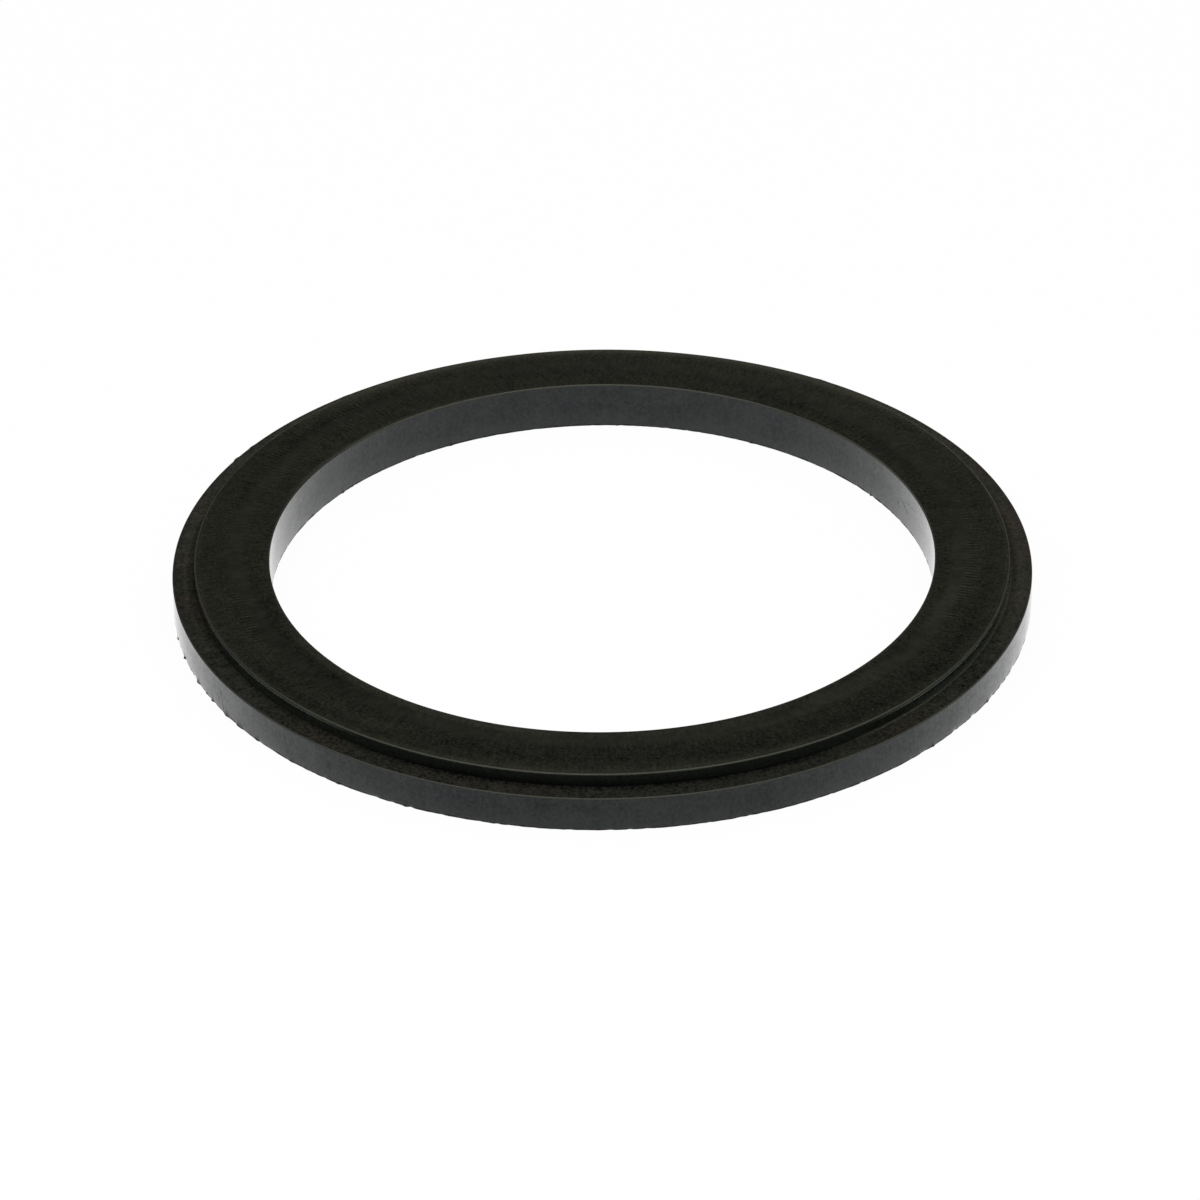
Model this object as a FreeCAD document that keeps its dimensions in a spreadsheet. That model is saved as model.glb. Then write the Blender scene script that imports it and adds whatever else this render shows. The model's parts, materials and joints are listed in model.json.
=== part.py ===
import FreeCAD, Part
import Sketcher
import os

# A flat sealing ring with one step in its section, moulded in one piece of rubber.
# The ring lies on its base in the XY plane, and its axis is +Z through the origin.

# Driving dimensions in millimetres, from the bore outwards and from the base up.
DIMENSIONS = (
    ("bore_diameter", 55.7, "Bore, measured across its plain wall"),
    ("land_width", 6.3, "Radial width of the raised inner land"),
    ("ledge_width", 1.85, "Radial width of the lower outer ledge"),
    ("ledge_height", 3.05, "Height of the ledge above the base"),
    ("step_height", 1.1, "Height of the land above the ledge"),
    ("bore_edge_radius", 0.12, "Rounding where the bore meets the land"),
    ("land_edge_radius", 0.15, "Rounding on the outer edge of the land"),
    ("root_radius", 0.1, "Rounding in the corner where the step stands on the ledge"),
    ("ledge_edge_radius", 0.1, "Rounding on the outer edge of the ledge"),
    ("base_edge_radius", 0.08, "Break of the two trimmed edges at the base"),
)

# How near a rim has to be to the size looked for, in millimetres.
RIM_TOLERANCE = 1e-4

doc = FreeCAD.newDocument("SealingRing")


def make_sheet():
    """The driving dimensions, one to a row: its name, its value with an alias, and what it measures."""
    sheet = doc.addObject("Spreadsheet::Sheet", "Sizes")
    for row, (alias, value, meaning) in enumerate(DIMENSIONS, start=1):
        sheet.set(f"A{row}", alias)
        sheet.set(f"B{row}", str(value))
        sheet.setAlias(f"B{row}", alias)
        sheet.set(f"C{row}", meaning)
    doc.recompute()
    return sheet


def origin_plane(body, role):
    """The body's own origin plane with this role."""
    for plane in body.Origin.OriginFeatures:
        if plane.Role == role:
            return plane
    raise RuntimeError(f"{body.Label} has no origin plane {role}")


def make_section(body):
    """Half of the ring's section, to the right of the axis, fully tied to the sheet."""
    sketch = body.newObject("Sketcher::SketchObject", "Section")
    sketch.AttachmentSupport = [(origin_plane(body, "XZ_Plane"), "")]
    sketch.MapMode = "FlatFace"

    corners = [
        (bore_radius, 0),
        (outer_radius, 0),
        (outer_radius, ledge_height),
        (step_radius, ledge_height),
        (step_radius, land_height),
        (bore_radius, land_height),
    ]
    base_line, outer_line, ledge_line, step_line, land_line, bore_line = range(len(corners))

    points = [FreeCAD.Vector(x, y, 0) for x, y in corners]
    for start, end in zip(points, points[1:] + points[:1]):
        sketch.addGeometry(Part.LineSegment(start, end), False)

    start_point, end_point = 1, 2
    x_axis, origin = -1, (-1, 1)
    for line in range(len(corners)):
        following = (line + 1) % len(corners)
        sketch.addConstraint(Sketcher.Constraint("Coincident", line, end_point, following, start_point))
    for line in (ledge_line, land_line):
        sketch.addConstraint(Sketcher.Constraint("Horizontal", line))
    for line in (outer_line, step_line, bore_line):
        sketch.addConstraint(Sketcher.Constraint("Vertical", line))
    for point in (start_point, end_point):
        sketch.addConstraint(Sketcher.Constraint("PointOnObject", base_line, point, x_axis))

    def measure(kind, start, end, value, expression):
        """One driving distance between two corners, taken from the sheet."""
        index = sketch.addConstraint(Sketcher.Constraint(kind, *start, *end, value))
        sketch.setExpression(f"Constraints[{index}]", expression)

    measure("DistanceX", origin, (base_line, start_point), bore_radius, "Sizes.bore_diameter / 2")
    for line, alias in ((land_line, "land_width"), (ledge_line, "ledge_width")):
        width = getattr(sizes, alias)
        measure("DistanceX", (line, end_point), (line, start_point), width, f"Sizes.{alias}")
    for line, alias in ((outer_line, "ledge_height"), (step_line, "step_height")):
        height = getattr(sizes, alias)
        measure("DistanceY", (line, start_point), (line, end_point), height, f"Sizes.{alias}")
    return sketch


def rim_name(shape, radius, height):
    """The name of the circular edge of this radius at this height."""
    for number, edge in enumerate(shape.Edges, start=1):
        circle = edge.Curve
        if not isinstance(circle, Part.Circle):
            continue
        if abs(circle.Radius - radius) < RIM_TOLERANCE and abs(circle.Center.z - height) < RIM_TOLERANCE:
            return f"Edge{number}"
    raise RuntimeError(f"no rim of radius {radius} at height {height}")


def round_rims(body, name, rims, alias):
    """Rounds the rims, each a radius and a height, by the radius that the sheet gives under alias."""
    base = body.Tip
    fillet = body.newObject("PartDesign::Fillet", name)
    fillet.Base = (base, [rim_name(base.Shape, radius, height) for radius, height in rims])
    fillet.setExpression("Radius", f"Sizes.{alias}")
    doc.recompute()
    base.Visibility = False
    return fillet


def make_ring():
    """The whole ring: its section turned once round the axis, then its rims rounded."""
    body = doc.addObject("PartDesign::Body", "sealing_ring")
    body.Label = "sealing_ring"
    section = make_section(body)

    ring = body.newObject("PartDesign::Revolution", "Ring")
    ring.Profile = section
    ring.ReferenceAxis = (section, ["V_Axis"])
    ring.Angle = 360
    section.Visibility = False
    doc.recompute()

    round_rims(body, "BoreEdge", [(bore_radius, land_height)], "bore_edge_radius")
    round_rims(body, "LandEdge", [(step_radius, land_height)], "land_edge_radius")
    round_rims(body, "StepRoot", [(step_radius, ledge_height)], "root_radius")
    round_rims(body, "LedgeEdge", [(outer_radius, ledge_height)], "ledge_edge_radius")
    round_rims(body, "BaseEdges", [(bore_radius, 0), (outer_radius, 0)], "base_edge_radius")

    body.Placement = FreeCAD.Placement(FreeCAD.Vector(0, 0, 0), FreeCAD.Rotation())
    return body


def check_document():
    """Stops with a plain message where an object of the document has failed."""
    for item in doc.Objects:
        if "Invalid" in item.State or "Error" in item.State:
            raise RuntimeError(f"{item.Label} has failed: {item.State}")


def write_part(body):
    """Writes the piece to the file that its label names, once its shape has been tested."""
    shape = body.Shape
    if shape.isNull() or not shape.isValid() or len(shape.Solids) != 1:
        raise RuntimeError(f"{body.Label} is not one valid solid")
    os.makedirs("parts", exist_ok=True)
    shape.exportStep(os.path.join("parts", f"{body.Label}.step"))
    box = shape.optimalBoundingBox()
    print(f"{body.Label}: {box.XLength:.3f} x {box.YLength:.3f} x {box.ZLength:.3f} mm,"
          f" {shape.Volume / 1000:.3f} cm3")


sizes = make_sheet()

# The section's radii and heights, which all follow from the sheet.
bore_radius = sizes.bore_diameter / 2
step_radius = bore_radius + sizes.land_width
outer_radius = step_radius + sizes.ledge_width
ledge_height = sizes.ledge_height
land_height = ledge_height + sizes.step_height

ring = make_ring()
doc.recompute()
check_document()
write_part(ring)
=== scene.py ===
import json
import math
import random
from collections import namedtuple

import bmesh
import bpy
from mathutils import Matrix, Vector


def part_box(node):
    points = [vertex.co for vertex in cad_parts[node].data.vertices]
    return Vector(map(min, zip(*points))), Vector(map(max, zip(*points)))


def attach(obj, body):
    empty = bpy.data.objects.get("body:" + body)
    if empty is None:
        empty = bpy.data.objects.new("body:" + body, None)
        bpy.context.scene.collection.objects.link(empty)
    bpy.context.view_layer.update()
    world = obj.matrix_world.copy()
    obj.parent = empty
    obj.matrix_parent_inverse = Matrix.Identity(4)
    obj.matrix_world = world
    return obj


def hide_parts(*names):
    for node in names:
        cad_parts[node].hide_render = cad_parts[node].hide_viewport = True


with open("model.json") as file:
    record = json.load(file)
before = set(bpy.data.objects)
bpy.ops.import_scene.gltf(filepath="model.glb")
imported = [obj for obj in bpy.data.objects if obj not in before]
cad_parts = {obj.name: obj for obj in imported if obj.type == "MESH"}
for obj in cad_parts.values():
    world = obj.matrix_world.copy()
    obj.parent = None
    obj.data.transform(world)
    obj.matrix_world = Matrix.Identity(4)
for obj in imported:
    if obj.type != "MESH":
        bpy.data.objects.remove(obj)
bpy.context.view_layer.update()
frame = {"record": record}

bl_info = {
    "name": "Stepped sealing ring",
    "version": (1, 0, 0),
    "blender": (4, 5, 0),
    "location": "View3D > Sidebar > Sealing ring",
    "description": "Models a moulded rubber sealing ring with a step, and the stage it lies on",
    "category": "Object",
}

MM = 0.001
FULL_TURN = 2 * math.pi


# Sizes read from the frame

def mount(name):
    """The record's mount of this name."""
    return next(entry for entry in frame["record"]["mounts"] if entry["name"] == name)


def wall_top(name):
    """The height in metres of the upper end of a round mount's wall."""
    wall = mount(name)
    return wall["pos_m"][2] + wall["dims"]["length_mm"] * MM / 2


RING_LOW, RING_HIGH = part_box("sealing_ring")
BORE_RADIUS = mount("bore")["dims"]["r_mm"] * MM
STEP_RADIUS = mount("step_wall")["dims"]["r_mm"] * MM
OUTER_RADIUS = mount("outer_wall")["dims"]["r_mm"] * MM
BORE_ROUNDING = 0.12 * MM
LAND_ROUNDING = 0.15 * MM
ROOT_ROUNDING = 0.1 * MM
LEDGE_ROUNDING = 0.1 * MM
BASE_BREAK = 0.08 * MM
LAND_HEIGHT = RING_HIGH.z
LEDGE_HEIGHT = wall_top("outer_wall") + LEDGE_ROUNDING


# Settings that the sidebar shows

def linear(hex_colour):
    """The linear red, green and blue of an sRGB hex colour."""
    parts = [int(hex_colour[i:i + 2], 16) / 255 for i in (1, 3, 5)]
    return tuple(p / 12.92 if p <= 0.04045 else ((p + 0.055) / 1.055) ** 2.4 for p in parts)


def length(name, description, default):
    """A size in metres that the sidebar shows in the scene's unit."""
    return bpy.props.FloatProperty(name=name, description=description, default=default, min=0.0,
                                   precision=5, subtype="DISTANCE", unit="LENGTH")


def angle(name, description, degrees):
    """An angle that starts from this many degrees."""
    return bpy.props.FloatProperty(name=name, description=description, default=math.radians(degrees),
                                   subtype="ANGLE", unit="ROTATION")


def colour(name, description, default):
    """A colour that starts from an sRGB hex value."""
    return bpy.props.FloatVectorProperty(name=name, description=description, default=linear(default),
                                         size=3, min=0.0, max=1.0, subtype="COLOR")


def share(name, description, default, high=1.0):
    """A plain number from 0 to high."""
    return bpy.props.FloatProperty(name=name, description=description, default=default, min=0.0, max=high,
                                   subtype="FACTOR")


class RingSettings(bpy.types.PropertyGroup):
    """The ring's section, its trim and its colours."""
    bore_radius: length("Bore radius", "From the axis to the bore's wall", BORE_RADIUS)
    step_radius: length("Step radius", "From the axis to the wall of the step", STEP_RADIUS)
    outer_radius: length("Outer radius", "From the axis to the outer wall", OUTER_RADIUS)
    ledge_height: length("Ledge height", "From the base to the outer ledge", LEDGE_HEIGHT)
    land_height: length("Land height", "From the base to the inner land", LAND_HEIGHT)
    chip_depth: length("Chip depth", "How deep the trim has bitten into the lower edges", 0.12 * MM)
    trim_height: length("Trim height", "How far up the walls the rough trim reaches", 0.3 * MM)
    land_colour: colour("Land", "Rubber of the ground land and base", "#1d1e18")
    ledge_colour: colour("Ledge", "Rubber of the ledge, ground less deeply", "#1c1d18")
    stain_colour: colour("Brown tint", "Rubber that the grinding has warmed", "#231e1a")
    edge_colour: colour("Rubbed edges", "Rubber worn on the rounded edges", "#1b1c17")
    wall_colour: colour("Moulded wall", "Rubber of the smooth moulded walls", "#0c100f")
    step_colour: colour("Step wall", "Rubber of the low wall between the land and the ledge", "#181b18")
    trim_colour: colour("Trimmed rim", "Torn rubber along the trimmed lower edges", "#231f1c")
    speck_colour: colour("Specks", "Pale dust and filler grains in the rubber", "#3c3b34")
    sheen_colour: colour("Wall sheen", "Tint of the sheen under the moulded walls' gloss", "#8e9498")
    edge_sheen_colour: colour("Edge sheen", "Tint of the rubbed edges' sheen", "#fffced")
    sectors: bpy.props.IntProperty(name="Sectors", description="Equal parts of the turn", default=30,
                                   min=3, max=60)
    sector_steps: bpy.props.IntProperty(name="Facets in a sector", description="Facets round one sector",
                                        default=48, min=1, max=60)
    seed: bpy.props.IntProperty(name="Seed", description="Start of the random trim marks", default=7, min=0)


class StageSettings(bpy.types.PropertyGroup):
    """The floor, the lamps and the camera."""
    floor_colour: colour("Floor", "The plain floor", "#f4f4f4")
    floor_size: length("Floor size", "Side of the square floor", 12.0)
    world_level: share("World level", "Grey of the room round the floor", 0.1)
    lamp_distance: length("Lamp distance", "From the ring to each lamp", 0.9)
    back_level: share("Back lamp level", "Brightness of the wide lamp behind and above", 0.7, 10.0)
    back_size: length("Back lamp size", "Side of the square lamp behind and above", 0.9)
    back_elevation: angle("Back lamp elevation", "Lamp above the far horizon", 60)
    front_level: share("Front lamp level", "Brightness of the three lamps above the camera", 6.5, 10.0)
    front_size: length("Front lamp size", "Side of the square lamps above the camera", 0.3)
    front_spread: angle("Front lamp spread", "Turn between the front lamps", 42)
    front_elevation: angle("Front lamp elevation", "Lamps above the near horizon", 57)
    side_level: share("Side lamp level", "Brightness of the lamps to the left and right", 0.7, 10.0)
    side_size: length("Side lamp size", "Side of the square lamps to the left and right", 0.9)
    side_elevation: angle("Side lamp elevation", "Lamps above the horizon", 40)
    white_share: share("White share", "How much of the floor's white is seen without shadow", 0.96)
    mirror_share: share("Mirrored white share", "The same, where the rubber mirrors the floor", 0.8)
    camera_distance: length("Camera distance", "From the ring's middle to the camera", 583.305 * MM)
    camera_lens: bpy.props.FloatProperty(name="Lens", description="Focal length on a 36 mm frame",
                                         default=208.138, min=20.0, unit="CAMERA")
    camera_elevation: angle("Elevation", "Camera above the horizon", 31.7243)


# The photograph's framing: small turns of the camera off the ring's middle, in degrees.
CAMERA_YAW = -0.0206
CAMERA_PITCH = -0.0557
CAMERA_ROLL = -0.4688
FRAME_WIDTH = 36.0


# Modelling helpers

def deselect_all():
    """Leaves no object selected."""
    for item in bpy.context.selected_objects:
        item.select_set(False)


def name_new(name):
    """Names the object that was just added, and its mesh."""
    piece = bpy.context.active_object
    piece.name = name
    piece.data.name = name
    return piece


def take_all(kind):
    """Selects all the vertices, edges or faces of the mesh in edit mode."""
    bpy.ops.mesh.select_mode(type=kind)
    bpy.ops.mesh.select_all(action="SELECT")


def pick(kind, test):
    """Selects the vertices, edges or faces of the mesh in edit mode that pass the test, which is given the
    middle of each, and a face's normal too."""
    bpy.ops.mesh.select_mode(type=kind)
    bpy.ops.mesh.select_all(action="DESELECT")
    mesh = bmesh.from_edit_mesh(bpy.context.active_object.data)
    chosen = {"VERT": mesh.verts, "EDGE": mesh.edges, "FACE": mesh.faces}[kind]
    for item in chosen:
        if kind == "VERT":
            item.select_set(test(item.co))
        elif kind == "EDGE":
            item.select_set(test((item.verts[0].co + item.verts[1].co) / 2))
        else:
            item.select_set(test(item.calc_center_median(), item.normal))
    mesh.select_flush_mode()
    bmesh.update_edit_mesh(bpy.context.active_object.data)


def near(value, target, slack=1e-6):
    """Whether two lengths in metres are the same, give or take the slack."""
    return abs(value - target) < slack


# Material helpers

def add_node(tree, kind, settings=None, links=None):
    """Adds a node, sets its sockets and properties, and links its inputs to sockets or nodes' first outputs.
    A link from None is left out."""
    node = tree.nodes.new(kind)
    for key, value in (settings or {}).items():
        if isinstance(key, int) or key in node.inputs:
            node.inputs[key].default_value = value
        else:
            setattr(node, key, value)
    for key, source in (links or {}).items():
        if source is not None:
            tree.links.new(source.outputs[0] if hasattr(source, "outputs") else source, node.inputs[key])
    return node


def new_material(name):
    """An empty node material, and its node tree."""
    material = bpy.data.materials.new(name)
    material.use_nodes = True
    material.node_tree.nodes.clear()
    return material, material.node_tree


def solid(rgb):
    """A colour with nothing of it see-through."""
    return (*rgb, 1.0)


# The sealing ring

# Heights in mm of the rows of points on the walls, which are close together near the trimmed base.
SECTION_ROWS = (0.12, 0.25, 0.45, 0.8, 1.3, 1.8, 2.3)
# How far from each rounding one more row lies, and how near to a row a point has to be to belong to it.
ROW_OFF = 0.02 * MM
ROW_SLACK = 0.001 * MM
# Faces that meet at less than this are shaded as one round surface.
SMOOTH_ANGLE = math.radians(35)


def draw_section(size):
    """Half of the ring's section, as one flat face in the XZ plane with rounded corners."""
    deselect_all()
    bpy.ops.mesh.primitive_plane_add(size=1, location=(0.5, 0, 0.5), rotation=(math.pi / 2, 0, 0))
    ring = name_new("rubber_ring")
    bpy.ops.object.transform_apply(location=True, rotation=True, scale=True)

    bpy.ops.object.mode_set(mode="EDIT")
    take_all("VERT")
    width = size.outer_radius - size.bore_radius
    bpy.ops.transform.resize(value=(width, 1, size.ledge_height), center_override=(0, 0, 0))
    bpy.ops.transform.translate(value=(size.bore_radius, 0, 0))
    bpy.ops.mesh.bisect(plane_co=(size.step_radius, 0, 0), plane_no=(1, 0, 0))
    pick("EDGE", lambda at: near(at.z, size.ledge_height) and at.x < size.step_radius)
    rise = size.land_height - size.ledge_height
    bpy.ops.mesh.extrude_region_move(TRANSFORM_OT_translate={"value": (0, 0, rise)})
    take_all("FACE")
    bpy.ops.mesh.dissolve_faces()

    corners = (
        (size.bore_radius, size.land_height, BORE_ROUNDING, 5),
        (size.step_radius, size.land_height, LAND_ROUNDING, 6),
        (size.step_radius, size.ledge_height, ROOT_ROUNDING, 3),
        (size.outer_radius, size.ledge_height, LEDGE_ROUNDING, 4),
        (size.outer_radius, 0, BASE_BREAK, 2),
        (size.bore_radius, 0, BASE_BREAK, 2),
    )
    for radius, height, rounding, steps in corners:
        pick("VERT", lambda at: near(at.x, radius) and near(at.z, height))
        bpy.ops.mesh.bevel(offset=rounding, offset_type="OFFSET", segments=steps, profile=0.5,
                           affect="VERTICES", clamp_overlap=False)
    return ring


def add_rows(size):
    """Rows of points on the walls and flats. The one just off each rounding keeps the wall or flat beside it
    flat in the shading."""
    heights = [row * MM for row in SECTION_ROWS]
    heights += [size.ledge_height - LEDGE_ROUNDING - ROW_OFF, size.ledge_height + ROOT_ROUNDING + ROW_OFF,
                size.land_height - LAND_ROUNDING - ROW_OFF]
    for height in heights:
        take_all("VERT")
        bpy.ops.mesh.bisect(plane_co=(0, 0, height), plane_no=(0, 0, 1), threshold=ROW_SLACK)
    for radius in (size.bore_radius + BORE_ROUNDING + ROW_OFF, size.step_radius - LAND_ROUNDING - ROW_OFF,
                   size.step_radius + ROOT_ROUNDING + ROW_OFF, size.outer_radius - LEDGE_ROUNDING - ROW_OFF):
        take_all("VERT")
        bpy.ops.mesh.bisect(plane_co=(radius, 0, 0), plane_no=(1, 0, 0), threshold=ROW_SLACK)
    take_all("FACE")
    bpy.ops.mesh.dissolve_faces()


def turn_section(size):
    """Turns the section's outline into one sector, copies the sector round the axis and closes the seams."""
    take_all("FACE")
    bpy.ops.mesh.delete(type="ONLY_FACE")
    axis = {"center": (0, 0, 0), "axis": (0, 0, 1), "use_auto_merge": False}
    take_all("EDGE")
    bpy.ops.mesh.spin(steps=size.sector_steps, angle=FULL_TURN / size.sectors, **axis)
    take_all("EDGE")
    bpy.ops.mesh.spin(steps=size.sectors, angle=FULL_TURN, dupli=True, **axis)
    take_all("EDGE")
    bpy.ops.mesh.remove_doubles(threshold=1e-6)
    bpy.ops.mesh.normals_make_consistent(inside=False)


# A trimmed rim waves in and out, with a new random level every few facets, and is set back: how many facets,
# and both amounts as shares of the chip depth.
WAVE_FACETS = 3
RIM_WAVE = 0.2
RIM_SETBACK = 0.22
# The chips in a rim: how far apart they are, their least and most share of the chip depth, their least and
# most width in mm, and how much of its reach a chip or burr has at each facet, at least and at most.
CHIP_SPACING = 1.3 * MM
CHIP_DEPTHS = (0.2, 0.8)
CHIP_WIDTHS = (0.1, 0.7)
MARK_REACHES = (0.6, 1.0)
# The bore is trimmed more finely than the outer wall.
BORE_CHIP_SHARE = 0.5
# How far from its wall a point of a rim may lie, and the powers by which a burr and a chip fade up the wall.
RIM_BAND = 0.2 * MM
BURR_FADE = 0.5
CHIP_FADE = 1
# The larger burrs on each rim: arc angle in degrees, then reach and width in mm.
BURRS = {
    "outer": (
        (190.8, 0.20, 0.25), (195.8, 0.16, 0.2), (202.1, 0.2, 0.5), (205.1, 0.1, 0.3), (207.0, 0.14, 0.4),
        (210.9, 0.22, 1.1), (214.2, 0.2, 1.3), (218.5, 0.12, 0.9), (225.3, 0.1, 0.5), (233.6, 0.1, 0.4),
        (243.7, 0.14, 0.35), (318.0, 0.1, 0.4), (331.0, 0.1, 0.3), (152.0, 0.1, 0.5), (48.0, 0.1, 0.4),
    ),
    "bore": ((34.0, 0.1, 0.3), (62.0, 0.12, 0.4), (87.0, 0.1, 0.3), (118.0, 0.1, 0.5), (143.0, 0.12, 0.3)),
    "ledge": ((150.8, 0.16, 0.6), (146.9, 0.07, 0.5), (57.5, 0.07, 1.2), (128.5, 0.06, 1.0)),
}


def rim_profile(size, dice, rim, radius, depth):
    """How far a rim stands out from its wall at each facet: chips in, burrs out, in metres."""
    count = size.sectors * size.sector_steps
    facet = FULL_TURN * radius / count
    profile = [0.0] * count
    wave = [dice.uniform(-1, 1) for _ in range(count // WAVE_FACETS)]
    for i in range(count):
        at = i / count * len(wave)
        low, part = int(at), at - int(at)
        blend = wave[low] * (1 - part) + wave[(low + 1) % len(wave)] * part
        profile[i] = depth * (RIM_WAVE * blend - RIM_SETBACK)

    def add_mark(middle, reach, width):
        spread = max(1, round(width / facet / 2))
        for step in range(-spread, spread + 1):
            i = (middle + step) % count
            profile[i] += reach * (1 - abs(step) / (spread + 1)) * dice.uniform(*MARK_REACHES)

    for _ in range(round(FULL_TURN * radius / CHIP_SPACING)):
        add_mark(dice.randrange(count), -depth * dice.uniform(*CHIP_DEPTHS), dice.uniform(*CHIP_WIDTHS) * MM)
    for arc, reach, width in BURRS[rim]:
        add_mark(round(arc / 360 * count), reach * MM, width * MM)
    return profile


def rag_rims(ring, size):
    """Moves the points of the two trimmed rims and the ledge's rim in and out, as a rough trim leaves them,
    inside the part's own box."""
    dice = random.Random(size.seed)
    count = size.sectors * size.sector_steps
    middle = (size.bore_radius + size.outer_radius) / 2
    bore_depth = BORE_CHIP_SHARE * size.chip_depth
    profiles = {"outer": rim_profile(size, dice, "outer", size.outer_radius, size.chip_depth),
                "bore": rim_profile(size, dice, "bore", size.bore_radius, bore_depth),
                "ledge": rim_profile(size, dice, "ledge", size.outer_radius, 0.0)}
    for vertex in ring.data.vertices:
        place = vertex.co
        radius = place.xy.length
        rim = "bore" if radius < middle else "outer" if place.z < size.trim_height else "ledge"
        wall_radius = size.bore_radius if rim == "bore" else size.outer_radius
        off = abs(place.z - (size.ledge_height if rim == "ledge" else 0))
        if off > size.trim_height or abs(radius - wall_radius) > RIM_BAND:
            continue
        facet = round(math.atan2(place.y, place.x) / FULL_TURN * count) % count
        stand_out = profiles[rim][facet]
        fade = BURR_FADE if stand_out > 0 else CHIP_FADE
        reach = stand_out * (1 - off / size.trim_height) ** fade
        grown = radius + (-reach if rim == "bore" else reach)
        place.xy *= grown / radius
        for axis in (0, 1):
            place[axis] = max(RING_LOW[axis], min(RING_HIGH[axis], place[axis]))


class SEALING_OT_ring(bpy.types.Operator):
    """Models the rubber ring: a turned section with rounded edges, ragged rims and its rubber finishes"""
    bl_idname = "sealing.ring"
    bl_label = "Sealing ring"

    def execute(self, context):
        size = context.scene.sealing_ring
        ring = draw_section(size)
        add_rows(size)
        turn_section(size)

        finish_faces(ring, size)
        bpy.ops.object.mode_set(mode="OBJECT")
        rag_rims(ring, size)
        deselect_all()
        ring.select_set(True)
        bpy.ops.object.shade_smooth_by_angle(angle=SMOOTH_ANGLE)

        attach(ring, "root")
        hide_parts("sealing_ring")
        return {"FINISHED"}


# Rubber finishes

# Where a point lies on the ring: the sources of its object coordinates, of its direction and distance from
# the axis, of its height above the base and of its arc angle in radians.
RingPlace = namedtuple("RingPlace", ("place", "away", "radius", "height", "arc"))
# The radius at which a pattern that runs round the ring has its true size.
MEAN_RADIUS = 31 * MM


def ring_place(tree):
    """The sources for where a point lies on the ring."""
    place = add_node(tree, "ShaderNodeTexCoord").outputs["Object"]
    axes = add_node(tree, "ShaderNodeSeparateXYZ", None, {"Vector": place}).outputs
    flat = add_node(tree, "ShaderNodeCombineXYZ", None, {"X": axes["X"], "Y": axes["Y"]})
    radius = add_node(tree, "ShaderNodeVectorMath", {"operation": "LENGTH"}, {0: flat}).outputs["Value"]
    away = add_node(tree, "ShaderNodeVectorMath", {"operation": "NORMALIZE"}, {0: flat})
    arc = add_node(tree, "ShaderNodeMath", {"operation": "ARCTAN2"}, {0: axes["Y"], 1: axes["X"]})
    return RingPlace(place, away, radius, axes["Z"], arc)


def grain_along(tree, away, across, fine, coarse):
    """Coordinates for a pattern that is this fine round the ring and this coarse across it, in metres."""
    around = add_node(tree, "ShaderNodeVectorMath", {"operation": "SCALE", "Scale": MEAN_RADIUS / fine},
                      {0: away})
    scaled = add_node(tree, "ShaderNodeMath", {"operation": "MULTIPLY", 1: 1 / coarse}, {0: across})
    lift = add_node(tree, "ShaderNodeCombineXYZ", None, {"Z": scaled})
    return add_node(tree, "ShaderNodeVectorMath", {"operation": "ADD"}, {0: around, 1: lift})


def added(tree, start, terms, first=None):
    """start, or the source first, plus each (source, amount): the source about its middle level of a half,
    times amount."""
    total = first
    for source, amount in terms:
        centred = add_node(tree, "ShaderNodeMath", {"operation": "SUBTRACT", 1: 0.5}, {0: source})
        total = add_node(tree, "ShaderNodeMath", {"operation": "MULTIPLY_ADD", 1: amount, 2: start},
                         {0: centred, 2: total})
    return total


def drawn_in(tree, pattern, strength):
    """A pattern about its middle level of a half, as strong as another source says."""
    centred = add_node(tree, "ShaderNodeMath", {"operation": "SUBTRACT", 1: 0.5}, {0: pattern})
    return add_node(tree, "ShaderNodeMath", {"operation": "MULTIPLY_ADD", 2: 0.5}, {0: centred, 1: strength})


def pale_specks(tree, place, spacing, size, kept):
    """Scattered round grains: one in each cell of the spacing, of which only the share kept is there."""
    cells = add_node(tree, "ShaderNodeTexVoronoi", {"Scale": 1 / spacing}, {"Vector": place}).outputs
    grain = add_node(tree, "ShaderNodeMapRange", {
        "From Min": size / spacing, "From Max": 0.5 * size / spacing}, {"Value": cells["Distance"]})
    chance = add_node(tree, "ShaderNodeSeparateColor", None, {"Color": cells["Color"]})
    there = add_node(tree, "ShaderNodeMath", {"operation": "LESS_THAN", 1: kept}, {0: chance})
    return add_node(tree, "ShaderNodeMath", {"operation": "MULTIPLY"}, {0: grain, 1: there})


def on_arc(tree, away, middle, half_arc):
    """1 in the middle half of an arc and 0 outside it."""
    turn = math.radians(middle)
    towards = (math.cos(turn), math.sin(turn), 0)
    facing = add_node(tree, "ShaderNodeVectorMath", {"operation": "DOT_PRODUCT", 1: towards}, {0: away})
    return add_node(tree, "ShaderNodeMapRange", {
        "interpolation_type": "SMOOTHSTEP",
        "From Min": math.cos(math.radians(half_arc)),
        "From Max": math.cos(math.radians(0.5 * half_arc)),
    }, {"Value": facing.outputs["Value"]})


def by_arc(tree, away, arcs, start=0.0):
    """A number that is start, plus the amount of each arc on that arc."""
    total = None
    for middle, half_arc, amount in arcs:
        here = on_arc(tree, away, middle, half_arc)
        total = add_node(tree, "ShaderNodeMath", {"operation": "MULTIPLY_ADD", 1: amount, 2: start},
                         {0: here, 2: total})
    return total


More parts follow.
